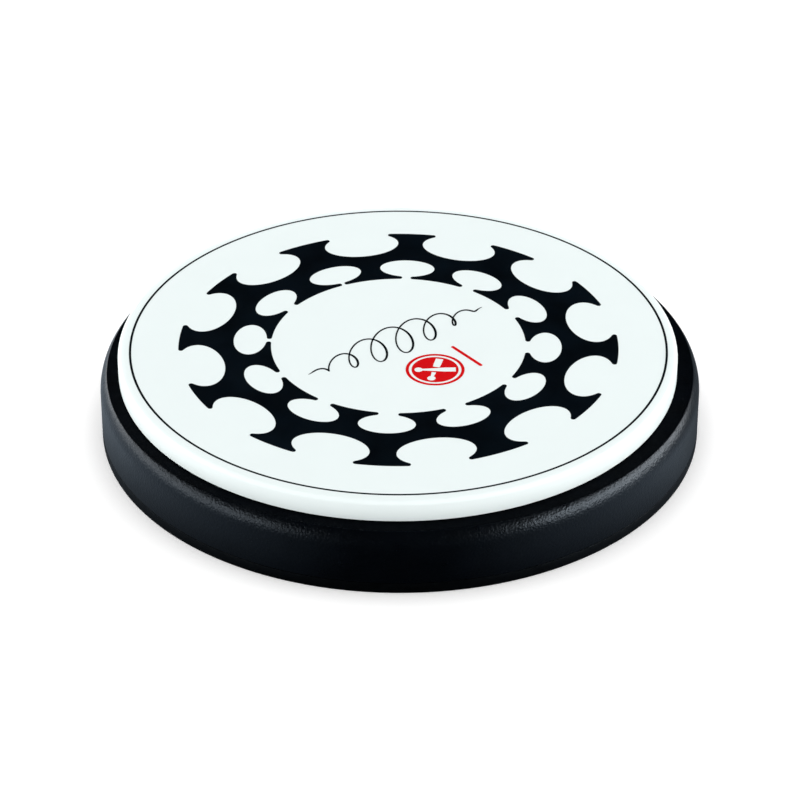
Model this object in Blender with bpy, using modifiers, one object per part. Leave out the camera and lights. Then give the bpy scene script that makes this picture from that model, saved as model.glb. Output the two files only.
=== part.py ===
"""A six-inch practice pad: a rubber playing surface bonded to a round-shouldered board, with a
non-slip sheet and a threaded insert underneath, so that it lies on a table or screws onto a stand.

Metres, +Z up. The origin is on the floor, under the centre of the pad.
"""

import math

import bmesh
import bpy
from mathutils import Matrix, Vector

MM = 0.001

# Driving dimensions
BASE_DIAMETER = 152.4 * MM
BOARD_THICKNESS = 14.0 * MM
SHOULDER_RADIUS = 6.8 * MM  # the board's top edge is a round-over this large ...
SHOULDER_RISE = 4.5 * MM  # ... of which only this height is cut, leaving a crisp ledge
LEDGE_EDGE = 0.4 * MM
SURFACE_DIAMETER = 141.8 * MM
SURFACE_THICKNESS = 5.2 * MM
SURFACE_EDGE = 1.0 * MM
FOOT_THICKNESS = 2.0 * MM
FOOT_INSET = 0.2 * MM
FOOT_HOLE_DIAMETER = 36.0 * MM
BOND_THICKNESS = 0.2 * MM
BOND_INSET = 0.6 * MM
SMALL_EDGE = 0.3 * MM
GAP = 0.3 * MM  # clearance between solids that touch
CUT_PAST = 1.0 * MM  # how far a cutter runs past the face it opens

# Screw-on tee nut for an M8 stand rod
THREAD_MINOR_DIAMETER = 6.65 * MM
THREAD_CHAMFER = 0.8 * MM
BARREL_DIAMETER = 10.0 * MM
INSERT_LENGTH = 11.2 * MM
FLANGE_DIAMETER = 30.0 * MM
FLANGE_THICKNESS = 1.6 * MM
FLANGE_RECESS = 0.3 * MM

# Countersunk cross-head screws, 3 x 10 mm, that hold the tee nut's flange
SCREW_COUNT = 3
SCREW_CIRCLE_DIAMETER = 20.0 * MM
SCREW_DIAMETER = 3.0 * MM
SCREW_ROOT_DIAMETER = 2.2 * MM
SCREW_HEAD_DIAMETER = 6.0 * MM
SCREW_HEAD_LAND = 0.2 * MM
SCREW_LENGTH = 10.0 * MM
SCREW_POINT = 2.0 * MM
SCREW_PITCH = 1.35 * MM
CROSS_SPAN = 3.4 * MM
CROSS_WIDTH = 0.8 * MM
CROSS_DEPTH = 1.3 * MM
CROSS_TAPER = 0.35

# Heights of the layers above the floor
BOND_LINE = BOND_THICKNESS + 2 * GAP
BOARD_Z = FOOT_THICKNESS + BOND_LINE
SURFACE_Z = BOARD_Z + BOARD_THICKNESS + BOND_LINE
INSERT_Z = BOARD_Z + FLANGE_RECESS

LARGE_STEPS = 96
INSERT_STEPS = 48
SCREW_STEPS = 24
HOLE_STEPS = 12
SHOULDER_STEPS = 7
EDGE_STEPS = 3
MERGE = 0.01 * MM
SHARP_ANGLE = math.radians(35)


def clear_scene():
    for obj in list(bpy.data.objects):
        bpy.data.objects.remove(obj, do_unlink=True)


def make_collection(name):
    collection = bpy.data.collections.new(name)
    bpy.context.scene.collection.children.link(collection)
    return collection


def make_material(name, color, roughness, metallic=0.0):
    material = bpy.data.materials.new(name)
    material.use_nodes = True
    shader = material.node_tree.nodes["Principled BSDF"]
    shader.inputs["Base Color"].default_value = (*color, 1.0)
    shader.inputs["Roughness"].default_value = roughness
    shader.inputs["Metallic"].default_value = metallic
    material.diffuse_color = (*color, 1.0)
    return material


def outline(corners):
    """Expands (radius, height, ease) corners into a profile, rounding each over its ease distance."""
    points = []
    for i, (radius, height, ease) in enumerate(corners):
        corner = Vector((radius, height))
        if not ease:
            points.append(corner)
            continue
        before = Vector(corners[i - 1][:2])
        after = Vector(corners[(i + 1) % len(corners)][:2])
        start = corner + ease * (before - corner).normalized()
        end = corner + ease * (after - corner).normalized()
        for k in range(EDGE_STEPS + 1):
            t = k / EDGE_STEPS
            points.append(start.lerp(corner, t).lerp(corner.lerp(end, t), t))
    return points


def turned(name, profile, collection, steps=LARGE_STEPS, ring=False):
    """Turns (radius, height) points about Z. They run down the outer side; a ring's profile closes."""
    mesh = bpy.data.meshes.new(name)
    edges = [(i, i + 1) for i in range(len(profile) - 1)]
    if ring:
        edges.append((len(profile) - 1, 0))
    mesh.from_pydata([(r, 0, z) for r, z in profile], edges, [])
    obj = bpy.data.objects.new(name, mesh)
    collection.objects.link(obj)
    screw = obj.modifiers.new("turn", "SCREW")
    screw.steps = screw.render_steps = steps
    screw.use_merge_vertices = True
    screw.merge_threshold = MERGE
    return obj


def hide_cutter(obj):
    obj.hide_render = True
    obj.display_type = "WIRE"


def cut(obj, cutter):
    hide_cutter(cutter)
    boolean = obj.modifiers.new("cut " + cutter.name, "BOOLEAN")
    boolean.operation = "DIFFERENCE"
    boolean.solver = "EXACT"
    boolean.object = cutter


def settle(obj, material):
    """Applies the modifiers, shades the round faces smooth and gives the piece its material."""
    bpy.context.view_layer.update()
    graph = bpy.context.evaluated_depsgraph_get()
    mesh = bpy.data.meshes.new_from_object(obj.evaluated_get(graph))
    obj.modifiers.clear()
    mesh.materials.clear()
    mesh.materials.append(material)
    mesh.shade_smooth()
    mesh.set_sharp_from_angle(angle=SHARP_ANGLE)
    mesh.name = obj.name
    obj.data = mesh
    return obj


def screw_places():
    """The x and y of each flange screw."""
    radius = SCREW_CIRCLE_DIAMETER / 2
    angles = [math.radians(90 + 360 * i / SCREW_COUNT) for i in range(SCREW_COUNT)]
    return [(radius * math.cos(a), radius * math.sin(a)) for a in angles]


def make_playing_surface():
    radius = SURFACE_DIAMETER / 2
    top = SURFACE_THICKNESS
    profile = outline([(0, top, 0), (radius, top, SURFACE_EDGE), (radius, 0, SMALL_EDGE), (0, 0, 0)])
    obj = turned("playing_surface", profile, parts)
    obj.location.z = SURFACE_Z
    return settle(obj, make_material("white_rubber", (0.86, 0.90, 0.90), 0.45))


def make_surface_bond():
    """The adhesive film that holds the playing surface down."""
    radius = SURFACE_DIAMETER / 2 - BOND_INSET
    profile = [(0, BOND_THICKNESS), (radius, BOND_THICKNESS), (radius, 0), (0, 0)]
    obj = turned("surface_bond", profile, parts)
    obj.location.z = SURFACE_Z - GAP - BOND_THICKNESS
    return settle(obj, make_material("adhesive_film", (0.75, 0.72, 0.62), 0.35))


def shoulder_corners(radius):
    """The board's round-over, from the ledge that truncates it down to the straight wall."""
    center_r = radius - SHOULDER_RADIUS
    center_z = BOARD_THICKNESS - SHOULDER_RISE
    top_angle = math.asin(SHOULDER_RISE / SHOULDER_RADIUS)
    corners = []
    for i in range(SHOULDER_STEPS + 1):
        angle = top_angle * (1 - i / SHOULDER_STEPS)
        across = SHOULDER_RADIUS * math.cos(angle)
        up = SHOULDER_RADIUS * math.sin(angle)
        corners.append((center_r + across, center_z + up, LEDGE_EDGE if i == 0 else 0))
    return corners


def make_base_board():
    """The board: a truncated round-over on top, and a stepped pocket for the tee nut below."""
    radius = BASE_DIAMETER / 2
    pocket_radius = FLANGE_DIAMETER / 2 + GAP
    pocket_z = FLANGE_RECESS + FLANGE_THICKNESS + GAP
    socket_radius = BARREL_DIAMETER / 2 + GAP
    socket_z = FLANGE_RECESS + INSERT_LENGTH + GAP
    corners = [(0, BOARD_THICKNESS, 0)] + shoulder_corners(radius)
    corners += [(radius, 0, SMALL_EDGE), (pocket_radius, 0, 0), (pocket_radius, pocket_z, 0)]
    corners += [(socket_radius, pocket_z, 0), (socket_radius, socket_z, 0), (0, socket_z, 0)]
    obj = turned("base_board", outline(corners), parts)
    obj.location.z = BOARD_Z
    hole_radius = SCREW_DIAMETER / 2 + GAP
    hole_top = SCREW_LENGTH + GAP
    hole = [(0, hole_top), (hole_radius, hole_top), (hole_radius, 0), (0, 0)]
    for i, (x, y) in enumerate(screw_places(), 1):
        cutter = turned(f"screw_hole_{i}", hole, cutters, HOLE_STEPS)
        cutter.location = (x, y, INSERT_Z)
        cut(obj, cutter)
    return settle(obj, make_material("black_textured_coat", (0.02, 0.022, 0.026), 0.42))


def make_foot_bond():
    """The adhesive ring between the board and the non-slip sheet."""
    outer = BASE_DIAMETER / 2 - FOOT_INSET - BOND_INSET
    inner = FOOT_HOLE_DIAMETER / 2 + BOND_INSET
    top = BOND_THICKNESS
    obj = turned("foot_bond", [(outer, top), (outer, 0), (inner, 0), (inner, top)], parts, ring=True)
    obj.location.z = FOOT_THICKNESS + GAP
    return settle(obj, bpy.data.materials["adhesive_film"])


def make_foot_sheet():
    outer = BASE_DIAMETER / 2 - FOOT_INSET
    inner = FOOT_HOLE_DIAMETER / 2
    top = FOOT_THICKNESS
    corners = [(outer, top, SMALL_EDGE), (outer, 0, SMALL_EDGE), (inner, 0, 0), (inner, top, 0)]
    obj = turned("foot_sheet", outline(corners), parts, ring=True)
    return settle(obj, make_material("black_foam_rubber", (0.018, 0.018, 0.019), 0.85))


def make_stand_insert():
    """The tee nut. Its thread is drawn as a plain bore at the thread's minor diameter."""
    bore = THREAD_MINOR_DIAMETER / 2
    mouth = bore + THREAD_CHAMFER
    flange = FLANGE_DIAMETER / 2
    barrel = BARREL_DIAMETER / 2
    profile = [
        (bore, INSERT_LENGTH),
        (barrel - SMALL_EDGE, INSERT_LENGTH),
        (barrel, INSERT_LENGTH - SMALL_EDGE),
        (barrel, FLANGE_THICKNESS),
        (flange - SMALL_EDGE, FLANGE_THICKNESS),
        (flange, FLANGE_THICKNESS - SMALL_EDGE),
        (flange, SMALL_EDGE),
        (flange - SMALL_EDGE, 0),
        (mouth, 0),
        (bore, THREAD_CHAMFER),
    ]
    obj = turned("stand_insert", profile, parts, INSERT_STEPS, ring=True)
    obj.location.z = INSERT_Z
    for i, (x, y) in enumerate(screw_places(), 1):
        cutter = turned(f"countersink_{i}", countersink_profile(), cutters, SCREW_STEPS)
        cutter.location = (x, y, INSERT_Z)
        cut(obj, cutter)
    return settle(obj, make_material("zinc_plated_steel", (0.62, 0.63, 0.65), 0.3, metallic=1.0))


def countersink_profile():
    """A screw hole a gap larger than the screw, through the flange and out of both its faces."""
    head = SCREW_HEAD_DIAMETER / 2 + GAP
    shank = SCREW_DIAMETER / 2 + GAP
    top = FLANGE_THICKNESS + CUT_PAST
    cone_top = SCREW_HEAD_LAND + head - shank
    profile = [(0, top), (shank, top), (shank, cone_top), (head, SCREW_HEAD_LAND)]
    return profile + [(head, -CUT_PAST), (0, -CUT_PAST)]


def screw_profile():
    """The screw from its point down to its head, whose face is at height 0."""
    head = SCREW_HEAD_DIAMETER / 2
    crest = SCREW_DIAMETER / 2
    root = SCREW_ROOT_DIAMETER / 2
    thread_top = SCREW_LENGTH - SCREW_POINT
    cone_top = SCREW_HEAD_LAND + head - crest
    ridges = int((thread_top - cone_top) / SCREW_PITCH)
    profile = [(0, SCREW_LENGTH), (root, thread_top)]
    for i in range(ridges):
        height = thread_top - i * SCREW_PITCH
        profile += [(crest, height - SCREW_PITCH / 2), (root, height - SCREW_PITCH)]
    profile += [(crest, cone_top), (head, SCREW_HEAD_LAND), (head, 0), (0, 0)]
    return profile


def cross_cutter(name, angle):
    """One tapered blade of the driver's cross, centred on the screw's head."""
    mesh = bpy.data.meshes.new(name)
    shape = bmesh.new()
    wide = math.sqrt(0.5)  # a four-sided cone this wide is one unit across its flats
    narrow = wide * CROSS_TAPER
    bmesh.ops.create_cone(
        shape, cap_ends=True, segments=4, radius1=wide, radius2=narrow, depth=2 * CROSS_DEPTH
    )
    bmesh.ops.rotate(shape, verts=shape.verts, matrix=Matrix.Rotation(math.radians(45), 3, "Z"))
    bmesh.ops.scale(shape, verts=shape.verts, vec=(CROSS_SPAN, CROSS_WIDTH, 1))
    bmesh.ops.rotate(shape, verts=shape.verts, matrix=Matrix.Rotation(angle, 3, "Z"))
    shape.to_mesh(mesh)
    shape.free()
    obj = bpy.data.objects.new(name, mesh)
    cutters.objects.link(obj)
    return obj


def make_insert_screws():
    steel = make_material("screw_steel", (0.55, 0.55, 0.56), 0.32, metallic=1.0)
    first = turned("insert_screw_1", screw_profile(), parts, SCREW_STEPS)
    cut(first, cross_cutter("cross_1", 0))
    cut(first, cross_cutter("cross_2", math.radians(90)))
    settle(first, steel)
    for i, (x, y) in enumerate(screw_places(), 1):
        if i == 1:
            screw = first
        else:
            screw = bpy.data.objects.new(f"insert_screw_{i}", first.data)
            parts.objects.link(screw)
        screw.location = (x, y, INSERT_Z)
        screw.rotation_euler.z = math.radians(50 * i)


clear_scene()
parts = make_collection("practice_pad")
cutters = make_collection("cutters")
make_playing_surface()
make_surface_bond()
make_base_board()
make_foot_bond()
make_foot_sheet()
make_stand_insert()
make_insert_screws()
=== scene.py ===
"""The looks of a six-inch practice pad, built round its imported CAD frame.

Metres, +Z up, in the frame's own axes: the origin is on the floor under the pad's centre, and -Y is
the side that faces the camera.
"""

import math

import bmesh
import bpy
from mathutils import Matrix, Vector


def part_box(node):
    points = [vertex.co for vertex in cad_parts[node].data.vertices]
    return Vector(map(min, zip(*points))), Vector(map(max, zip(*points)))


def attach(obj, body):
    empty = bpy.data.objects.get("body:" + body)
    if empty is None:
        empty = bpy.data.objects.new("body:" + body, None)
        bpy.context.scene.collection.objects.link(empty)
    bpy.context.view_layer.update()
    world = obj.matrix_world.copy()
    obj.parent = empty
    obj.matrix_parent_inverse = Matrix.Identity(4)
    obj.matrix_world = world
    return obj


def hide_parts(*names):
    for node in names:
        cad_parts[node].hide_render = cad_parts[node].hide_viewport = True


MM = 0.001

# Camera: a long lens, looking down at the pad from the front
LENS_MM = 159.8
CAMERA_ELEVATION = math.radians(32.7)
CAMERA_DISTANCE = 878.4 * MM
CAMERA_AIM = Vector((0.03 * MM, -26.3 * MM))  # where it looks, on the plane of the playing surface
CAMERA_CLIP = (10 * MM, 100.0)

# Mesh work
LARGE_STEPS = 288  # sides of the pad's own round pieces
SMALL_STEPS = 72
SCREW_STEPS = 40
FACE_RINGS = 6  # rings across a broad flat face
CRISP_EDGE = 0.08 * MM  # radius of an outer corner that only has its sharpness taken off
CRISP_STEPS = 3
SMALL_EDGE = 0.3 * MM  # a small bevel
SHARP_ANGLE = math.radians(30)
WELD = 0.001 * MM  # points closer than this become one after a cut ...
PRINT_WELD = 0.0005 * MM  # ... and after a print is filled
LEVEL = 0.01 * MM  # faces less than this below the board's top are part of it

# Layers: each comes down to the one below, with an adhesive film between
FILM_THICKNESS = 0.3 * MM
FOOT_FILM_THICKNESS = 0.05 * MM
FILM_INSET = 0.9 * MM
SEAM = 0.03 * MM  # the air that keeps touching pieces apart
SURFACE_OFF_CENTER = -0.55 * MM  # how far along X the playing surface was bonded off the centre ...
PRINT_OFF_CENTER = -0.37 * MM  # ... and where its print came to lie

# Playing surface
CROWN_START = 68.3 * MM  # it falls away from here ...
CROWN_TILT = 10.0  # ... to this many degrees where its rounded edge begins
CROWN_STEPS = 6
SURFACE_EDGE = 1.2 * MM  # radius of its top edge
SURFACE_EDGE_STEPS = 10

# Board and foot
SHOULDER_RADIUS = 6.8 * MM  # the board's round-over ...
SHOULDER_RISE = 4.5 * MM  # ... of which only this height is there, so a crisp ledge cuts it off
SHOULDER_STEPS = 16
LEDGE_EDGE = 0.35 * MM
LEDGE_EDGE_STEPS = 4
FOOT_HOLE_RADIUS = 18.0 * MM
FOOT_FILM_HOLE_RADIUS = 18.4 * MM
FOOT_RINGS = 5  # rings across the foot's underside

# Tee nut and its screws
POCKET_GAP = 0.3 * MM
FLANGE_THICKNESS = 1.6 * MM
BARREL_RADIUS = 5.0 * MM
THREAD_MINOR_RADIUS = 3.325 * MM
THREAD_MAJOR_RADIUS = 4.0 * MM
THREAD_PITCH = 1.25 * MM
THREAD_CHAMFER = 0.8 * MM
THREAD_RINGS_PER_TURN = 12
THREAD_CREST = 0.25  # share of a thread's pitch that its flat crest takes ...
THREAD_SLOPES = 0.62  # ... and that its two slopes take together
SCREW_CIRCLE_RADIUS = 10.0 * MM
SCREW_COUNT = 3
SCREW_FIRST_ANGLE = math.radians(90)
SCREW_TURN = math.radians(50)  # how far each screw's cross is turned past the one before
SCREW_RADIUS = 1.5 * MM
SCREW_ROOT_RADIUS = 1.1 * MM
SCREW_HEAD_RADIUS = 3.0 * MM
SCREW_HEAD_LAND = 0.2 * MM
SCREW_LENGTH = 10.0 * MM
SCREW_POINT = 2.0 * MM
SCREW_POINT_STEPS = 5
SCREW_PITCH = 1.35 * MM
CROSS_SPAN = 3.4 * MM
CROSS_WIDTH = 0.8 * MM
CROSS_DEPTH = 1.3 * MM
CROSS_TAPER = 0.35
CUT_PAST = 1.0 * MM  # how far a cutter reaches past what it cuts

# Print on the playing surface
INK_RAISED = 0.03 * MM
INK_SUNK = 0.02 * MM
RING_OUTER_RADIUS = 55.75 * MM
RING_INNER_RADIUS = 32.3 * MM
RING_CORNER = 0.65 * MM  # every corner of the ring's ink is rounded this much
BITES_PER_RUN = 6  # the bites come in two runs, half a turn apart
BITE_STEP = math.radians(29.65)
FIRST_OUTER_BITE = math.radians(132.64)
FIRST_INNER_BITE = FIRST_OUTER_BITE + BITE_STEP / 2
BITE_SHIFT = Vector((-0.25 * MM, 0.2 * MM))  # all but the first bite of each run lie this far off
OUTER_BITE = (50.37 * MM, 5.9 * MM, 9.84 * MM)  # its centre's radius, half sizes along and across it
INNER_BITE = (37.45 * MM, 4.2 * MM, 7.13 * MM)
BITE_POINTS = 48
CORNER_POINTS = 8
CORNER_HALVINGS = 40  # how closely a corner's place is narrowed down
RIM_POINTS = 12  # between two bites
BORDER_RADIUS = 67.93 * MM
BORDER_WIDTH = 0.58 * MM
BORDER_POINTS = 360
FLOURISH_START = Vector((-22.5 * MM, -14.5 * MM))
FLOURISH_END = Vector((21.5 * MM, 18.0 * MM))
FLOURISH_LOOPS = 7
FLOURISH_HEIGHT = 6.4 * MM
FLOURISH_ROLL = 4.2 * MM  # how far the pen swings along the line, which closes the loops
FLOURISH_SLANT = 0.45  # how far the loops lean along the line
FLOURISH_SWELL = 1.2  # the higher, the smaller its first and last loops
FLOURISH_POINTS = 900
PEN_THIN = 0.4 * MM
PEN_THICK = 0.62 * MM
PEN_TIP = 0.35  # share of its width at which the line starts and ends ...
PEN_WIDENS = 20.0  # ... and how fast it gains the rest, in widths per length of the line
PEN_CLIMB = 0.02 * MM  # the line rises this much along its length, so that it crosses over itself
EMBLEM_CENTER = Vector((9.2 * MM, -12.2 * MM))
EMBLEM_RADIUS = 7.4 * MM
EMBLEM_BAND = 0.8 * MM
EMBLEM_GAP = 0.7 * MM
EMBLEM_UP = math.radians(218.7)  # where its upright points
EMBLEM_POINTS = 120
STICK_LENGTH = 10.4 * MM
STICK_SPREAD = math.radians(38)  # how far each stick leans from the emblem's upright
STICK_GAP = 0.5 * MM
STICK_BEAD = 0.2  # share of the stick that its bead takes
STICK_BEAD_RADIUS = 0.95 * MM
STICK_BEAD_RIM = 0.1 * MM  # added all round, so that the bead's ends aren't points
STICK_NECK = 0.42 * MM  # half its width behind the bead ...
STICK_BUTT = 0.97 * MM  # ... and at its thick end
STICK_TAPER = 0.55  # share of the stick that widens from one to the other
STICK_POINTS = 60
BAR_LENGTH = 11.0 * MM
BAR_WIDTH = 0.9 * MM
BAR_OFFSET = 10.3 * MM  # from the emblem's centre

# Colours, as linear values
WHITE_RUBBER = (0.775, 0.847, 0.842)
BLACK_INK = (0.0012, 0.0031, 0.0056)
RED_INK = (0.58, 0.001, 0.003)
BLACK_COAT = (0.0005, 0.0011, 0.0022)
COAT_SHEEN = (0.86, 1.0, 1.14)
# the foot rubber's own black, partly painted shade: a little darker than the coat so that the wall
# darkens at its foot
FOOT_BLACK_AND_SHADE = (0.0006, 0.0009, 0.0013)
ADHESIVE = (0.62, 0.58, 0.47)
ZINC = (0.62, 0.63, 0.65)
SCREW_STEEL = (0.55, 0.55, 0.56)
FLOOR_WHITE = (0.98, 0.98, 0.98)

# Surround and floor
WORLD_STRENGTH = 0.56  # as matte pieces find it; the camera sees pure white
FLOOR_BOUNCE = 0.65  # how pale matte pieces find the floor
FLOOR_GLOW = 0.12  # lifts the floor to the white of the surround
FLOOR_RINGS = (75.5 * MM, 85 * MM, 150 * MM, 500 * MM, 6.0)  # radii, from the opening outwards
FLOOR_STEPS = 96
FLOOR_GAP = 0.1 * MM

# What polished pieces see of the floor: a sheen, with two dark flags in it
SHEEN_STRENGTH = 0.44
SHEEN_TINT = (0.84, 1.0, 1.17)
SHEEN_OUTWARD = (72 * MM, 86 * MM)  # the radii between which the sheen grows
FRONT_FLAG = (math.radians(10), math.radians(75))  # angles from the front where it is black and gone
BACK_FLAG_TOWARDS = (math.sqrt(0.5), math.sqrt(0.5), 0)
BACK_FLAG = (0.42, 0.8)  # cosines of the angles from there where it is gone and darkest
BACK_FLAG_LEFT = 0.3  # the share of the sheen that is left where it is darkest

# Softboxes: azimuth from the front towards the right and elevation, both in degrees, then distance,
# width and height, brightness, and whether polished pieces mirror it
LIGHT_AIM = Vector((0, 0, 15 * MM))
SOFTBOXES = {
    "left_softbox": (-95, 7, 0.75, (2.1, 0.24), 2.35, True),
    "left_back_softbox": (-140, 7, 0.75, (0.4, 0.2), 1.7, True),
    "right_softbox": (84, 9, 0.75, (1.1, 0.24), 5.0, True),
    "left_fill": (-100, 6, 0.8, (1.0, 0.25), 5.0, False),
    "right_fill": (100, 6, 0.8, (1.0, 0.25), 2.2, False),
    "front_fill": (0, 4, 0.9, (0.9, 0.2), 4.3, False),
    "back_fill": (180, 6, 0.9, (0.9, 0.25), 7.0, False),
    "top_fill": (0, 90, 1.2, (1.3, 1.3), 1.28, False),
    "under_box": (180, -40, 0.7, (1.3, 0.9), 1.6, True),
    "under_fill": (0, -60, 0.7, (0.8, 0.8), 1.2, True),
}


# ---------------------------------------------------------------- camera


def make_camera(target_height):
    data = bpy.data.cameras.new("camera")
    data.lens = LENS_MM
    data.clip_start, data.clip_end = CAMERA_CLIP
    camera = bpy.data.objects.new("camera", data)
    bpy.context.scene.collection.objects.link(camera)
    back = Vector((0, -math.cos(CAMERA_ELEVATION), math.sin(CAMERA_ELEVATION)))
    camera.location = Vector((*CAMERA_AIM, target_height)) + CAMERA_DISTANCE * back
    camera.rotation_euler = (-back).to_track_quat("-Z", "Y").to_euler()
    bpy.context.scene.camera = camera


# ---------------------------------------------------------------- meshes


def add_object(name, mesh):
    obj = bpy.data.objects.new(name, mesh)
    bpy.context.scene.collection.objects.link(obj)
    return obj


def evaluated_mesh(obj):
    """The object's mesh as its modifiers leave it."""
    bpy.context.view_layer.update()
    graph = bpy.context.evaluated_depsgraph_get()
    return bpy.data.meshes.new_from_object(obj.evaluated_get(graph))


def shade(mesh):
    mesh.shade_smooth()
    mesh.set_sharp_from_angle(angle=SHARP_ANGLE)


def arc(center_r, center_z, radius, start, end, steps):
    """(radius, height) points of an arc in the profile plane, its angles in degrees from outward."""
    points = []
    for i in range(steps + 1):
        angle = math.radians(start + (end - start) * i / steps)
        points.append((center_r + radius * math.cos(angle), center_z + radius * math.sin(angle)))
    return points


def turned(name, profile, steps, closed=False, radius_at=None):
    """Turns (radius, height) points about Z into a closed body.

    The points run from the axis down the outer side and back to the axis, or round a ring if closed.
    radius_at(radius, height, angle) may change a point's radius, as on a thread."""
    shape = bmesh.new()
    rings = []
    for radius, height in profile:
        if radius == 0:
            rings.append([shape.verts.new((0, 0, height))])
            continue
        ring = []
        for i in range(steps):
            angle = math.tau * i / steps
            r = radius_at(radius, height, angle) if radius_at else radius
            ring.append(shape.verts.new((r * math.cos(angle), r * math.sin(angle), height)))
        rings.append(ring)
    pairs = list(zip(rings, rings[1:]))
    if closed:
        pairs.append((rings[-1], rings[0]))
    for upper, lower in pairs:
        for i in range(steps):
            k = (i + 1) % steps
            if len(upper) == 1:
                shape.faces.new((upper[0], lower[i], lower[k]))
            elif len(lower) == 1:
                shape.faces.new((upper[i], lower[0], upper[k]))
            else:
                shape.faces.new((upper[i], lower[i], lower[k], upper[k]))
    mesh = bpy.data.meshes.new(name)
    shape.to_mesh(mesh)
    shape.free()
    shade(mesh)
    return add_object(name, mesh)


def crisp_arc(outer, center_z, start, end):
    """A small arc that takes the sharpness off a corner on the outer side."""
    return arc(outer - CRISP_EDGE, center_z, CRISP_EDGE, start, end, CRISP_STEPS)


def face_rings(outer, height):
    """Points from the axis out to just short of a flat face's edge."""
    return [(outer * i / FACE_RINGS, height) for i in range(FACE_RINGS)]


def subtract(obj, cutters):
    """Cuts the cutters out of the object, and removes them."""
    for cutter in cutters:
        boolean = obj.modifiers.new("cut", "BOOLEAN")
        boolean.operation = "DIFFERENCE"
        boolean.solver = "EXACT"
        boolean.object = cutter
    mesh = evaluated_mesh(obj)
    obj.modifiers.clear()
    shape = bmesh.new()
    shape.from_mesh(mesh)
    bmesh.ops.remove_doubles(shape, verts=shape.verts, dist=WELD)
    shape.to_mesh(mesh)
    shape.free()
    obj.data = mesh
    shade(mesh)
    for cutter in cutters:
        bpy.data.objects.remove(cutter, do_unlink=True)


# ---------------------------------------------------------------- materials


class Look:
    """A Principled material under construction. Patterns are in the piece's own space, in metres."""

    def __init__(self, name, roughness, metallic=0.0, specular=0.5, tint=(1, 1, 1)):
        self.material = bpy.data.materials.new(name)
        self.material.use_nodes = True
        self.nodes = self.material.node_tree.nodes
        self.links = self.material.node_tree.links
        self.shader = self.nodes["Principled BSDF"]
        self.shader.inputs["Roughness"].default_value = roughness
        self.shader.inputs["Metallic"].default_value = metallic
        self.shader.inputs["Specular IOR Level"].default_value = specular
        self.shader.inputs["Specular Tint"].default_value = (*tint, 1)
        self.place = self.nodes.new("ShaderNodeTexCoord").outputs["Object"]

    def noise(self, grain, detail=2.0):
        """Noise whose blotches are about grain metres across."""
        node = self.nodes.new("ShaderNodeTexNoise")
        node.inputs["Scale"].default_value = 1 / grain
        node.inputs["Detail"].default_value = detail
        self.links.new(self.place, node.inputs["Vector"])
        return node.outputs["Fac"]

    def cells(self, grain):
        """Rounded cells about grain metres across, as on an orange-peel coat."""
        node = self.nodes.new("ShaderNodeTexVoronoi")
        node.feature = "SMOOTH_F1"
        node.inputs["Scale"].default_value = 1 / grain
        node.inputs["Smoothness"].default_value = 0.8
        self.links.new(self.place, node.inputs["Vector"])
        return node.outputs["Distance"]

    def turned_lines(self, pitch):
        """Fine rings about Z, as a lathe leaves them."""
        node = self.nodes.new("ShaderNodeTexWave")
        node.wave_type = "RINGS"
        node.rings_direction = "Z"
        node.inputs["Scale"].default_value = 1 / (pitch * 3)  # at scale 1 there are about 3 to a metre
        node.inputs["Distortion"].default_value = 2.0
        node.inputs["Detail"].default_value = 3.0
        self.links.new(self.place, node.inputs["Vector"])
        return node.outputs["Fac"]

    def spread(self, value, low, high, start=0.3, end=0.7):
        """Maps a pattern's usual range onto low to high."""
        node = self.nodes.new("ShaderNodeMapRange")
        node.inputs["From Min"].default_value = start
        node.inputs["From Max"].default_value = end
        node.inputs["To Min"].default_value = low
        node.inputs["To Max"].default_value = high
        self.links.new(value, node.inputs["Value"])
        return node.outputs["Result"]

    def color(self, base, pattern, share):
        """The base colour, lighter and darker by that share as the pattern varies."""
        node = self.nodes.new("ShaderNodeMix")
        node.data_type = "RGBA"
        node.inputs[6].default_value = (*(c * (1 - share) for c in base), 1)
        node.inputs[7].default_value = (*(min(1, c * (1 + share)) for c in base), 1)
        self.links.new(self.spread(pattern, 0, 1), node.inputs["Factor"])
        self.links.new(node.outputs[2], self.shader.inputs["Base Color"])

    def roughness(self, pattern, low, high):
        self.links.new(self.spread(pattern, low, high), self.shader.inputs["Roughness"])

    def bump(self, layers):
        """Stacks (pattern, depth in metres) layers into one bump."""
        normal = None
        for pattern, depth in layers:
            node = self.nodes.new("ShaderNodeBump")
            node.inputs["Strength"].default_value = 1
            node.inputs["Distance"].default_value = depth
            self.links.new(pattern, node.inputs["Height"])
            if normal:
                self.links.new(normal, node.inputs["Normal"])
            normal = node.outputs["Normal"]
        self.links.new(normal, self.shader.inputs["Normal"])


def white_rubber():
    look = Look("white_rubber", 0.5, specular=0.35)
    look.color(WHITE_RUBBER, look.noise(14 * MM, 4), 0.006)
    look.roughness(look.noise(5 * MM), 0.46, 0.56)
    look.bump([(look.noise(0.5 * MM, 3), 0.012 * MM)])
    return look.material


def black_ink():
    look = Look("black_ink", 0.42, specular=0.1)
    look.color(BLACK_INK, look.noise(9 * MM, 4), 0.35)
    look.roughness(look.noise(4 * MM), 0.36, 0.48)
    look.bump([(look.noise(0.5 * MM, 3), 0.008 * MM)])
    return look.material


def red_ink():
    look = Look("red_ink", 0.42, specular=0.06)
    look.color(RED_INK, look.noise(6 * MM, 4), 0.05)
    look.roughness(look.noise(4 * MM), 0.36, 0.48)
    look.bump([(look.noise(0.5 * MM, 3), 0.008 * MM)])
    return look.material


def black_coat():
    look = Look("black_textured_coat", 0.3, tint=COAT_SHEEN)
    look.color(BLACK_COAT, look.noise(8 * MM, 5), 0.25)
    look.roughness(look.noise(3 * MM, 4), 0.27, 0.34)
    look.bump([(look.cells(0.6 * MM), 0.07 * MM), (look.noise(0.35 * MM, 3), 0.05 * MM)])
    return look.material


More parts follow.
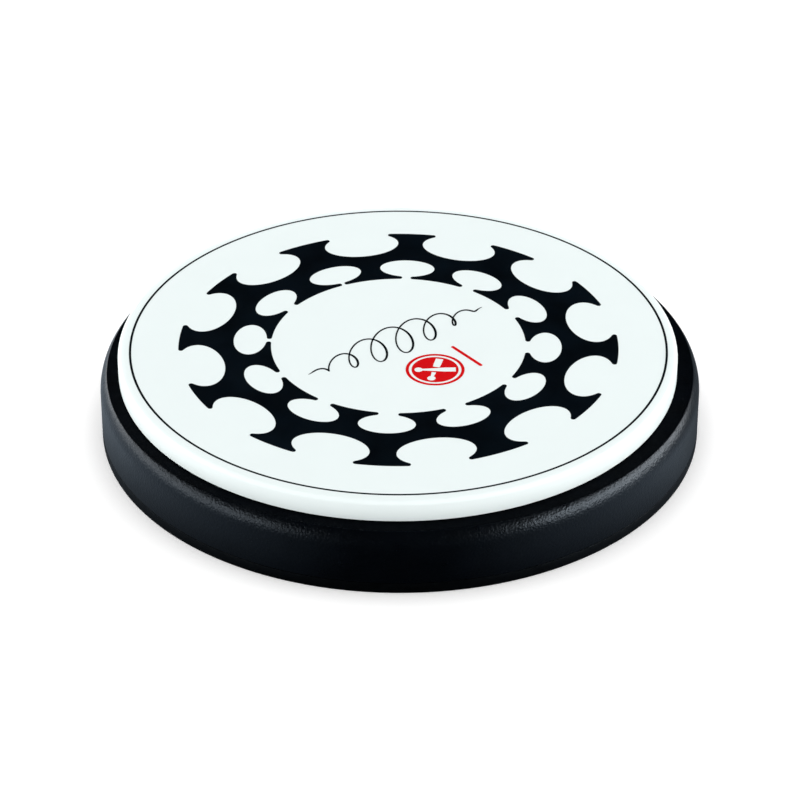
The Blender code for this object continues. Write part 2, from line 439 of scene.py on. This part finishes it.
def dull_coat():
    """The same coat where it was masked off for bonding and stayed matt."""
    look = Look("dull_top_coat", 0.7, specular=0.03, tint=COAT_SHEEN)
    look.color(BLACK_COAT, look.noise(6 * MM, 5), 0.3)
    look.roughness(look.noise(2 * MM, 4), 0.62, 0.78)
    look.bump([(look.cells(0.9 * MM), 0.03 * MM), (look.noise(0.3 * MM, 3), 0.02 * MM)])
    return look.material


def foot_rubber():
    look = Look("foot_rubber", 0.45, specular=0.2, tint=COAT_SHEEN)
    # this colour holds painted shade at the foot of the wall as well as the rubber's own black
    look.color(FOOT_BLACK_AND_SHADE, look.noise(2.5 * MM, 6), 0.4)
    look.roughness(look.noise(2 * MM, 3), 0.38, 0.5)
    look.bump([(look.noise(1.2 * MM, 4), 0.06 * MM), (look.noise(0.25 * MM, 2), 0.02 * MM)])
    return look.material


def adhesive_film():
    look = Look("adhesive_film", 0.35)
    look.color(ADHESIVE, look.noise(3 * MM, 5), 0.1)
    look.roughness(look.noise(1 * MM, 3), 0.28, 0.45)
    look.bump([(look.noise(0.4 * MM, 2), 0.01 * MM)])
    return look.material


def zinc_plate():
    look = Look("zinc_plated_steel", 0.3, metallic=1.0)
    look.color(ZINC, look.noise(1.8 * MM, 6), 0.08)
    look.roughness(look.noise(0.9 * MM, 4), 0.22, 0.4)
    look.bump([(look.turned_lines(0.16 * MM), 0.004 * MM), (look.noise(0.3 * MM, 3), 0.006 * MM)])
    return look.material


def bright_steel():
    look = Look("screw_steel", 0.3, metallic=1.0)
    look.color(SCREW_STEEL, look.noise(0.8 * MM, 5), 0.1)
    look.roughness(look.noise(0.5 * MM, 3), 0.24, 0.4)
    look.bump([(look.turned_lines(0.1 * MM), 0.003 * MM)])
    return look.material


# ---------------------------------------------------------------- pieces


def place_piece(piece, material, slot=None, *replaced):
    """Gives a finished piece its material, and makes it ride in place of its CAD nodes. The slot is not
    used.
    """
    piece.data.materials.clear()
    piece.data.materials.append(material)
    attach(piece, "root")
    if replaced:
        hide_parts(*replaced)


def make_rubber_surface(material):
    """The white rubber disc: flat, falling away a little near its rim, and rounded at its edge."""
    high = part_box("playing_surface")[1]
    radius = high.x
    top = high.z
    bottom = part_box("base_board")[1].z + FILM_THICKNESS + 2 * SEAM
    tilt = math.radians(CROWN_TILT)
    edge_r = radius - SURFACE_EDGE
    crown = (edge_r + SURFACE_EDGE * math.sin(tilt) - CROWN_START) / math.sin(tilt)
    edge_z = top - (crown - SURFACE_EDGE) * (1 - math.cos(tilt)) - SURFACE_EDGE
    profile = face_rings(CROWN_START, top)
    profile += arc(CROWN_START, top - crown, crown, 90, 90 - CROWN_TILT, CROWN_STEPS)
    profile += arc(edge_r, edge_z, SURFACE_EDGE, 90 - CROWN_TILT, 0, SURFACE_EDGE_STEPS)[1:]
    profile += crisp_arc(radius, bottom + CRISP_EDGE, 0, -90)
    profile += [(radius / 2, bottom), (0, bottom)]
    piece = turned("rubber_surface", profile, LARGE_STEPS)
    piece.location.x = SURFACE_OFF_CENTER
    place_piece(piece, material, "white_rubber", "playing_surface")


def make_surface_film(material):
    """The disc of adhesive film between the board and the playing surface."""
    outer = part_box("playing_surface")[1].x - FILM_INSET
    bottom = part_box("base_board")[1].z + SEAM
    top = bottom + FILM_THICKNESS
    profile = [(0, top), (outer, top), (outer, bottom), (0, bottom)]
    piece = turned("surface_film", profile, LARGE_STEPS)
    piece.location.x = SURFACE_OFF_CENTER
    place_piece(piece, material, "adhesive_film", "surface_bond")


def make_foot_film(material):
    """The ring of adhesive film between the non-slip sheet and the board."""
    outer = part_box("foot_sheet")[1].x - FILM_INSET
    inner = FOOT_FILM_HOLE_RADIUS
    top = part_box("base_board")[0].z - SEAM
    bottom = top - FOOT_FILM_THICKNESS
    profile = [(outer, top), (outer, bottom), (inner, bottom), (inner, top)]
    piece = turned("foot_film", profile, LARGE_STEPS, closed=True)
    place_piece(piece, material, "adhesive_film", "foot_bond")


def make_coated_board(material, top_material):
    """The board: a flat ledge, the round-over it cuts off, a straight wall, and the tee nut's pocket."""
    low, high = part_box("base_board")
    nut_low, nut_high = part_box("stand_insert")
    radius = high.x
    shoulder_r = radius - SHOULDER_RADIUS
    shoulder_z = high.z - SHOULDER_RISE
    pocket_radius = nut_high.x + POCKET_GAP
    pocket_z = nut_low.z + FLANGE_THICKNESS + POCKET_GAP
    socket_radius = BARREL_RADIUS + POCKET_GAP
    socket_z = nut_high.z + POCKET_GAP
    # The small arc at the ledge's edge touches the ledge from below and the shoulder from inside
    edge_z = high.z - LEDGE_EDGE
    reach = SHOULDER_RADIUS - LEDGE_EDGE
    edge_angle = math.asin((edge_z - shoulder_z) / reach)
    edge_r = shoulder_r + reach * math.cos(edge_angle)
    meet = math.degrees(edge_angle)
    profile = face_rings(edge_r, high.z)
    profile += arc(edge_r, edge_z, LEDGE_EDGE, 90, meet, LEDGE_EDGE_STEPS)
    profile += arc(shoulder_r, shoulder_z, SHOULDER_RADIUS, meet, 0, SHOULDER_STEPS)[1:]
    profile += crisp_arc(radius, low.z + CRISP_EDGE, 0, -90)
    profile += [(radius / 2, low.z), (pocket_radius, low.z), (pocket_radius, pocket_z)]
    profile += [(socket_radius, pocket_z), (socket_radius, socket_z), (0, socket_z)]
    piece = turned("coated_board", profile, LARGE_STEPS)
    holes = []
    hole_radius = SCREW_RADIUS + POCKET_GAP
    hole_top = nut_low.z + SCREW_LENGTH + POCKET_GAP
    for x, y in screw_places():
        hole = [(0, hole_top), (hole_radius, hole_top), (hole_radius, nut_low.z), (0, nut_low.z)]
        cutter = turned("pilot_hole", hole, SCREW_STEPS)
        cutter.location = (x, y, 0)
        holes.append(cutter)
    subtract(piece, holes)
    place_piece(piece, material, "black_coated_board", "base_board")
    piece.data.materials.append(top_material)
    for face in piece.data.polygons:
        if face.center.z > high.z - LEVEL:
            face.material_index = 1


def make_foot(material):
    """The non-slip rubber sheet, with a round hole at the tee nut."""
    board_low, board_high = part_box("base_board")
    outer = board_high.x
    inner = FOOT_HOLE_RADIUS
    top = board_low.z - FOOT_FILM_THICKNESS - 2 * SEAM
    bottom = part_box("foot_sheet")[0].z
    edge = SMALL_EDGE / 2
    profile = crisp_arc(outer, top - CRISP_EDGE, 90, 0)
    profile += crisp_arc(outer, bottom + CRISP_EDGE, 0, -90)
    profile += [(outer + (inner - outer) * i / FOOT_RINGS, bottom) for i in range(1, FOOT_RINGS)]
    profile += [(inner + edge, bottom), (inner, bottom + edge), (inner, top)]
    piece = turned("foot_rubber_sheet", profile, LARGE_STEPS, closed=True)
    place_piece(piece, material, "black_foot_rubber", "foot_sheet")


def screw_places():
    """The x and y of each flange screw."""
    angles = [SCREW_FIRST_ANGLE + math.tau * i / SCREW_COUNT for i in range(SCREW_COUNT)]
    return [(SCREW_CIRCLE_RADIUS * math.cos(a), SCREW_CIRCLE_RADIUS * math.sin(a)) for a in angles]


def thread_share(height, angle, pitch):
    """0 on a thread's crest and 1 at its root, at that height and angle."""
    phase = (height / pitch - angle / math.tau) % 1
    distance = 2 * abs(phase - 0.5)
    return min(1, max(0, (distance - THREAD_CREST) / THREAD_SLOPES))


def make_tee_nut(material):
    """The tee nut, with a real M8 thread cut down its bore."""
    low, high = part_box("stand_insert")
    flange_radius = high.x
    flange_top = low.z + FLANGE_THICKNESS
    edge = SMALL_EDGE
    profile = [
        (BARREL_RADIUS - edge, high.z),
        (BARREL_RADIUS, high.z - edge),
        (BARREL_RADIUS, flange_top + edge),
        (BARREL_RADIUS + edge, flange_top),
        (flange_radius - edge, flange_top),
        (flange_radius, flange_top - edge),
        (flange_radius, low.z + edge),
        (flange_radius - edge, low.z),
        (THREAD_MINOR_RADIUS + THREAD_CHAMFER, low.z),
    ]
    mouth_top = low.z + THREAD_CHAMFER
    rings = round((high.z - low.z) / THREAD_PITCH * THREAD_RINGS_PER_TURN)
    for i in range(1, rings + 1):
        profile.append((THREAD_MINOR_RADIUS, low.z + (high.z - low.z) * i / rings))

    def threaded(radius, height, angle):
        if radius != THREAD_MINOR_RADIUS:
            return radius
        depth = (THREAD_MAJOR_RADIUS - THREAD_MINOR_RADIUS) * thread_share(height, angle, THREAD_PITCH)
        mouth = max(0, mouth_top - height)
        return THREAD_MINOR_RADIUS + max(depth, mouth)

    piece = turned("tee_nut", profile, SMALL_STEPS, closed=True, radius_at=threaded)
    cutters = []
    head = SCREW_HEAD_RADIUS + POCKET_GAP
    shank = SCREW_RADIUS + POCKET_GAP
    cone_top = low.z + SCREW_HEAD_LAND + head - shank
    sunk = [(0, flange_top + CUT_PAST), (shank, flange_top + CUT_PAST), (shank, cone_top)]
    sunk += [(head, low.z + SCREW_HEAD_LAND), (head, low.z - CUT_PAST), (0, low.z - CUT_PAST)]
    for x, y in screw_places():
        cutter = turned("countersink", sunk, SCREW_STEPS)
        cutter.location = (x, y, 0)
        cutters.append(cutter)
    subtract(piece, cutters)
    place_piece(piece, material, "zinc_plated_steel", "stand_insert")


def cross_blade(turn):
    """One tapered blade of the driver's cross, centred on the screw's head."""
    shape = bmesh.new()
    wide = math.sqrt(0.5)
    bmesh.ops.create_cone(
        shape,
        cap_ends=True,
        segments=4,
        radius1=wide,
        radius2=wide * CROSS_TAPER,
        depth=2 * CROSS_DEPTH,
    )
    bmesh.ops.rotate(shape, verts=shape.verts, matrix=Matrix.Rotation(math.radians(45), 3, "Z"))
    bmesh.ops.scale(shape, verts=shape.verts, vec=(CROSS_SPAN, CROSS_WIDTH, 1))
    bmesh.ops.rotate(shape, verts=shape.verts, matrix=Matrix.Rotation(turn, 3, "Z"))
    mesh = bpy.data.meshes.new("cross_blade")
    shape.to_mesh(mesh)
    shape.free()
    return add_object("cross_blade", mesh)


def screw_mesh():
    """A countersunk cross-head wood screw with its head's face at height 0 and its point up."""
    cone_top = SCREW_HEAD_LAND + SCREW_HEAD_RADIUS - SCREW_RADIUS
    thread_top = SCREW_LENGTH - SCREW_POINT
    rings = round((thread_top - cone_top) / SCREW_PITCH * THREAD_RINGS_PER_TURN)
    profile = [(0, SCREW_LENGTH)]
    for i in range(SCREW_POINT_STEPS - 1, 0, -1):
        height = thread_top + SCREW_POINT * i / SCREW_POINT_STEPS
        profile.append((SCREW_ROOT_RADIUS * (SCREW_LENGTH - height) / SCREW_POINT, height))
    for i in range(rings + 1):
        profile.append((SCREW_ROOT_RADIUS, thread_top + (cone_top - thread_top) * i / rings))
    profile += [(SCREW_RADIUS, cone_top), (SCREW_HEAD_RADIUS, SCREW_HEAD_LAND)]
    profile += [(SCREW_HEAD_RADIUS, 0), (0, 0)]

    def threaded(radius, height, angle):
        if radius != SCREW_ROOT_RADIUS or height > thread_top:
            return radius
        run_out = min(1, (thread_top - height) / SCREW_PITCH)
        ridge = 1 - thread_share(height, angle, SCREW_PITCH)
        return radius + (SCREW_RADIUS - radius) * ridge * run_out

    piece = turned("screw_master", profile, SCREW_STEPS, radius_at=threaded)
    subtract(piece, [cross_blade(0), cross_blade(math.radians(90))])
    mesh = piece.data
    bpy.data.objects.remove(piece, do_unlink=True)
    return mesh


def make_screws(material):
    mesh = screw_mesh()
    for i, (x, y) in enumerate(screw_places(), 1):
        node = f"insert_screw_{i}"
        piece = add_object(f"flange_screw_{i}", mesh if i == 1 else mesh.copy())
        piece.location = (x, y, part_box(node)[0].z)
        piece.rotation_euler.z = SCREW_TURN * i
        place_piece(piece, material, "screw_steel", node)


# ---------------------------------------------------------------- print


def unit(angle):
    return Vector((math.cos(angle), math.sin(angle)))


def heading(vector):
    """The angle of a vector, anticlockwise from +X."""
    return math.atan2(vector.y, vector.x)


def circle(center, radius, points):
    return [center + radius * unit(math.tau * i / points) for i in range(points)]


def sweep(center, radius, start, end, side, points):
    """Points of an arc from one heading to another, anticlockwise if side is 1 and clockwise if -1."""
    turn = side * ((side * (end - start)) % math.tau)
    return [center + radius * unit(start + turn * i / points) for i in range(points + 1)]


def bite_edge(rim, side, angle, oval, shift):
    """One oval bite's edge, from its rounded corner on the rim to its other rounded corner.

    side is 1 for a bite into the outer rim and -1 for one into the inner rim."""
    reach, half_along, half_across = oval
    opening = side * unit(angle)
    across = unit(angle + math.pi / 2)
    center = shift + reach * unit(angle)

    def at(turn, away=0.0):
        """The point that far round from the bite's deepest point, and that far outside the oval."""
        along = -math.cos(turn) * opening
        sideways = math.sin(turn) * across
        normal = (along * half_across + sideways * half_along).normalized()
        return center + half_along * along + half_across * sideways + away * normal

    # A rounded corner's middle is the corner's radius away from the oval and from the rim
    corners = []
    for way in (-1, 1):
        near, far = way * math.pi / 2, way * math.pi
        for _ in range(CORNER_HALVINGS):
            middle = (near + far) / 2
            inside = side * (at(middle, RING_CORNER).length - (rim - side * RING_CORNER)) < 0
            near, far = (middle, far) if inside else (near, middle)
        corners.append(near)
    first, last = corners
    points = []
    for turn, entering in ((first, True), (last, False)):
        middle = at(turn, RING_CORNER)
        on_rim = heading(side * middle)
        on_oval = heading(at(turn) - middle)
        if entering:
            points += sweep(middle, RING_CORNER, on_rim, on_oval, side, CORNER_POINTS)
            steps = range(1, BITE_POINTS)
            points += [at(first + (last - first) * i / BITE_POINTS) for i in steps]
        else:
            points += sweep(middle, RING_CORNER, on_oval, on_rim, side, CORNER_POINTS)
    return points


def bitten_rim(rim, side, first_angle, oval):
    """The closed outline of a rim with two runs of bites."""
    outline = []
    for run in range(2):
        for i in range(BITES_PER_RUN):
            angle = first_angle + math.pi * run + BITE_STEP * i
            shift = BITE_SHIFT if i else Vector((0, 0))
            edge = bite_edge(rim, side, angle, oval, shift)
            if outline:
                outline += rim_between(rim, outline[-1], edge[0])
            outline += edge
    return outline + rim_between(rim, outline[-1], outline[0])


def rim_between(rim, start, end):
    points = sweep(Vector((0, 0)), rim, heading(start), heading(end), 1, RIM_POINTS)
    return points[1:-1]


def ribbon_sides(line, widths):
    """The two sides of a pen stroke of that width at each point of its line."""
    left, right = [], []
    for i, point in enumerate(line):
        along = (line[min(i + 1, len(line) - 1)] - line[max(i - 1, 0)]).normalized()
        aside = Vector((-along.y, along.x)) * widths[i] / 2
        left.append(point + aside)
        right.append(point - aside)
    return left, right


def ribbon(line, widths):
    left, right = ribbon_sides(line, widths)
    return left + right[::-1]


def flourish_line():
    """A slanted line of pen loops, widest in the middle, and the pen's width along it."""
    span = FLOURISH_END - FLOURISH_START
    along = span.normalized()
    upward = Vector((-along.y, along.x)) + FLOURISH_SLANT * along
    line, widths = [], []
    for i in range(FLOURISH_POINTS + 1):
        t = i / FLOURISH_POINTS
        swell = math.sin(math.pi * t) ** FLOURISH_SWELL
        turn = math.tau * FLOURISH_LOOPS * t
        swing = FLOURISH_HEIGHT * math.sin(turn) * upward - FLOURISH_ROLL * math.cos(turn) * along
        line.append(FLOURISH_START + t * span + swell * swing)
        press = 0.5 - 0.5 * math.cos(turn)
        taper = min(1, PEN_TIP + PEN_WIDENS * t, PEN_TIP + PEN_WIDENS * (1 - t))
        widths.append((PEN_THIN + (PEN_THICK - PEN_THIN) * press) * taper)
    return line, widths


def make_flourish(top, material):
    """The pen line as a closed strip that crosses over itself."""
    shape = bmesh.new()
    line, widths = flourish_line()
    left, right = ribbon_sides(line, widths)
    rows = []
    for i, (a, b) in enumerate(zip(left, right)):
        high = top + INK_RAISED + PEN_CLIMB * i / FLOURISH_POINTS
        corners = ((a, high), (b, high), (b, top - INK_SUNK), (a, top - INK_SUNK))
        rows.append([shape.verts.new((*point, z)) for point, z in corners])
    shape.faces.new(rows[0])
    for near, far in zip(rows, rows[1:]):
        for i in range(4):
            k = (i + 1) % 4
            shape.faces.new((near[i], far[i], far[k], near[k]))
    shape.faces.new(rows[-1][::-1])
    bmesh.ops.recalc_face_normals(shape, faces=shape.faces)
    mesh = bpy.data.meshes.new("flourish_print")
    shape.to_mesh(mesh)
    shape.free()
    place_print(add_object("flourish_print", mesh), material)


def stick_half_width(t):
    """A drumstick's half width along its length: a round bead, a thin neck and a long taper."""
    if t < STICK_BEAD:
        off_middle = 2 * t / STICK_BEAD - 1
        return STICK_BEAD_RADIUS * math.sqrt(max(0.0, 1 - off_middle**2)) + STICK_BEAD_RIM
    widened = min(1, (t - STICK_BEAD) / STICK_TAPER)
    return STICK_NECK + (STICK_BUTT - STICK_NECK) * widened


def stick_outline(angle, start, end):
    """The part of a crossed stick between two shares of its length; share 0 is its bead."""
    axis = unit(angle)
    shares = [start + (end - start) * i / STICK_POINTS for i in range(STICK_POINTS + 1)]
    line = [EMBLEM_CENTER + axis * STICK_LENGTH * (0.5 - t) for t in shares]
    return ribbon(line, [2 * stick_half_width(t) for t in shares])


def emblem_outlines():
    """A plain roundel in a thin band. Two crossed sticks are left blank in it, one over the other."""
    inner = EMBLEM_RADIUS - EMBLEM_BAND
    radii = (EMBLEM_RADIUS, inner, inner - EMBLEM_GAP)
    outlines = [circle(EMBLEM_CENTER, radius, EMBLEM_POINTS) for radius in radii]
    over = EMBLEM_UP - STICK_SPREAD
    under = EMBLEM_UP + STICK_SPREAD
    outlines.append(stick_outline(over, 0, 1))
    clear = (stick_half_width(0.5) / math.sin(2 * STICK_SPREAD) + STICK_GAP) / STICK_LENGTH
    outlines.append(stick_outline(under, 0, 0.5 - clear))
    outlines.append(stick_outline(under, 0.5 + clear, 1))
    return outlines


def bar_outline():
    """The plain thin bar beside the emblem."""
    middle = EMBLEM_CENTER - BAR_OFFSET * unit(EMBLEM_UP)
    along = unit(EMBLEM_UP + math.pi / 2) * BAR_LENGTH / 2
    end = BAR_WIDTH / 2
    first = sweep(middle + along, end, EMBLEM_UP, EMBLEM_UP + math.pi, 1, CORNER_POINTS)
    last = sweep(middle - along, end, EMBLEM_UP + math.pi, EMBLEM_UP, 1, CORNER_POINTS)
    return first + last


def make_print(name, outlines, top, material):
    """A layer of ink on the playing surface: closed outlines, filled evenly odd, given a thickness."""
    curve = bpy.data.curves.new(name, "CURVE")
    curve.dimensions = "2D"
    curve.fill_mode = "BOTH"
    curve.extrude = (INK_RAISED + INK_SUNK) / 2
    for outline in outlines:
        spline = curve.splines.new("POLY")
        spline.points.add(len(outline) - 1)
        for point, place in zip(spline.points, outline):
            point.co = (place.x, place.y, 0, 1)
        spline.use_cyclic_u = True
    source = add_object(name + "_outline", curve)
    mesh = evaluated_mesh(source)
    bpy.data.objects.remove(source, do_unlink=True)
    shape = bmesh.new()
    shape.from_mesh(mesh)
    bmesh.ops.remove_doubles(shape, verts=shape.verts, dist=PRINT_WELD)
    bmesh.ops.translate(shape, verts=shape.verts, vec=(0, 0, top + (INK_RAISED - INK_SUNK) / 2))
    bmesh.ops.recalc_face_normals(shape, faces=shape.faces)
    shape.to_mesh(mesh)
    shape.free()
    mesh.name = name
    place_print(add_object(name, mesh), material)


def place_print(piece, material):
    piece.location.x = PRINT_OFF_CENTER
    place_piece(piece, material)


def make_prints(top):
    black = black_ink()
    red = red_ink()
    outer = bitten_rim(RING_OUTER_RADIUS, 1, FIRST_OUTER_BITE, OUTER_BITE)
    inner = bitten_rim(RING_INNER_RADIUS, -1, FIRST_INNER_BITE, INNER_BITE)
    make_print("ring_print", [outer, inner], top, black)
    radii = (BORDER_RADIUS + BORDER_WIDTH / 2, BORDER_RADIUS - BORDER_WIDTH / 2)
    border = [circle(Vector((0, 0)), radius, BORDER_POINTS) for radius in radii]
    make_print("border_print", border, top, black)
    make_flourish(top, black)
    make_print("emblem_print", emblem_outlines(), top, red)
    make_print("bar_print", [bar_outline()], top, red)


# ---------------------------------------------------------------- studio


def make_world():
    """A surround that is white to the camera, greyer to matte pieces and unseen by polished ones."""
    world = bpy.data.worlds.new("white_surround")
    bpy.context.scene.world = world
    world.use_nodes = True
    background = world.node_tree.nodes["Background"]
    background.inputs["Color"].default_value = (1, 1, 1, 1)
    nodes, links = world.node_tree.nodes, world.node_tree.links
    seen = nodes.new("ShaderNodeMapRange")
    seen.inputs["To Min"].default_value = WORLD_STRENGTH
    links.new(nodes.new("ShaderNodeLightPath").outputs["Is Camera Ray"], seen.inputs["Value"])
    links.new(seen.outputs["Result"], background.inputs["Strength"])
    world.cycles.sampling_method = "NONE"
    world.cycles_visibility.glossy = False


def floor_sheen(look):
    """The floor in reflections, as if black flags stood before the pad and behind its right."""
    nodes, links = look.nodes, look.links

    def math_node(operation, *values):
        node = nodes.new("ShaderNodeMath")
        node.operation = operation
        for socket, value in zip(node.inputs, values):
            links.new(value, socket)
        return node.outputs["Value"]

    def share_towards(direction):
        """The cosine of the angle between a spot's direction from the centre and that one."""
        node = nodes.new("ShaderNodeVectorMath")
        node.operation = "DOT_PRODUCT"
        links.new(look.place, node.inputs[0])
        node.inputs[1].default_value = direction
        return math_node("DIVIDE", node.outputs["Value"], radius)

    length = nodes.new("ShaderNodeVectorMath")
    length.operation = "LENGTH"
    links.new(look.place, length.inputs[0])
    radius = length.outputs["Value"]
    from_front = math_node("ARCCOSINE", share_towards((0, -1, 0)))
    front = look.spread(from_front, 0, 1, *FRONT_FLAG)
    back = look.spread(share_towards(BACK_FLAG_TOWARDS), 1, BACK_FLAG_LEFT, *BACK_FLAG)
    outward = look.spread(radius, 0, SHEEN_STRENGTH, *SHEEN_OUTWARD)
    strength = math_node("MULTIPLY", math_node("MULTIPLY", front, back), outward)
    shader = nodes.new("ShaderNodeEmission")
    shader.inputs["Color"].default_value = (*SHEEN_TINT, 1)
    links.new(strength, shader.inputs["Strength"])
    look.material.cycles.emission_sampling = "NONE"
    return shader.outputs["Emission"]


def make_floor():
    """A pale floor, open under the pad and see-through from below, so that its underside shows."""
    shape = bmesh.new()
    rings = []
    for radius in FLOOR_RINGS:
        points = circle(Vector((0, 0)), radius, FLOOR_STEPS)
        rings.append([shape.verts.new((*point, 0)) for point in points])
    for near, far in zip(rings, rings[1:]):
        for i in range(FLOOR_STEPS):
            k = (i + 1) % FLOOR_STEPS
            shape.faces.new((near[i], far[i], far[k], near[k]))
    mesh = bpy.data.meshes.new("floor")
    shape.to_mesh(mesh)
    shape.free()
    floor = add_object("floor", mesh)
    floor.location.z = -FLOOR_GAP
    look = Look("pale_floor", 0.9, specular=0)
    look.color(FLOOR_WHITE, look.noise(120 * MM, 3), 0.004)
    look.shader.inputs["Emission Color"].default_value = (1, 1, 1, 1)
    look.shader.inputs["Emission Strength"].default_value = FLOOR_GLOW
    surface = look.shader.outputs["BSDF"]
    path = look.nodes.new("ShaderNodeLightPath")
    dim = look.nodes.new("ShaderNodeBsdfDiffuse")
    dim.inputs["Color"].default_value = (FLOOR_BOUNCE, FLOOR_BOUNCE, FLOOR_BOUNCE, 1)
    below = look.nodes.new("ShaderNodeNewGeometry").outputs["Backfacing"]
    clear = look.nodes.new("ShaderNodeBsdfTransparent").outputs["BSDF"]
    layers = (
        (path.outputs["Is Diffuse Ray"], dim.outputs["BSDF"]),
        (path.outputs["Is Glossy Ray"], floor_sheen(look)),
        (below, clear),
    )
    for factor, other in layers:
        mix = look.nodes.new("ShaderNodeMixShader")
        look.links.new(factor, mix.inputs["Fac"])
        look.links.new(surface, mix.inputs[1])
        look.links.new(other, mix.inputs[2])
        surface = mix.outputs["Shader"]
    look.links.new(surface, look.nodes["Material Output"].inputs["Surface"])
    mesh.materials.append(look.material)


def make_softbox(name, azimuth, elevation, distance, size, brightness, glossy):
    """A rectangular light that faces the pad. Azimuth is from the front, -Y, towards the right, +X."""
    data = bpy.data.lights.new(name, "AREA")
    data.shape = "RECTANGLE"
    data.size, data.size_y = size
    data.energy = brightness * math.pi * size[0] * size[1]
    light = bpy.data.objects.new(name, data)
    bpy.context.scene.collection.objects.link(light)
    a, e = math.radians(azimuth), math.radians(elevation)
    away = Vector((math.sin(a) * math.cos(e), -math.cos(a) * math.cos(e), math.sin(e)))
    light.location = LIGHT_AIM + distance * away
    light.rotation_euler = (-away).to_track_quat("-Z", "Y").to_euler()
    light.visible_camera = False
    light.visible_glossy = glossy


def make_studio():
    bpy.context.scene.view_settings.view_transform = "Standard"
    make_world()
    make_floor()
    for name, setting in SOFTBOXES.items():
        make_softbox(name, *setting)


# ---------------------------------------------------------------- the scene

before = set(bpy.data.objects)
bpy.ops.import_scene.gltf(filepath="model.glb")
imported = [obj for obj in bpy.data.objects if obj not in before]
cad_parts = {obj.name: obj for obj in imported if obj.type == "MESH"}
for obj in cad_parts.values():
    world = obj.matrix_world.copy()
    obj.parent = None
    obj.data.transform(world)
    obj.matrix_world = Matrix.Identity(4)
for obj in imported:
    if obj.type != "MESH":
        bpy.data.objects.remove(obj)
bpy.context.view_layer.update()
surface_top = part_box("playing_surface")[1].z
make_camera(surface_top)

film = adhesive_film()
make_rubber_surface(white_rubber())
make_surface_film(film)
make_coated_board(black_coat(), dull_coat())
make_foot_film(film)
make_foot(foot_rubber())
make_tee_nut(zinc_plate())
make_screws(bright_steel())
make_prints(surface_top)
make_studio()
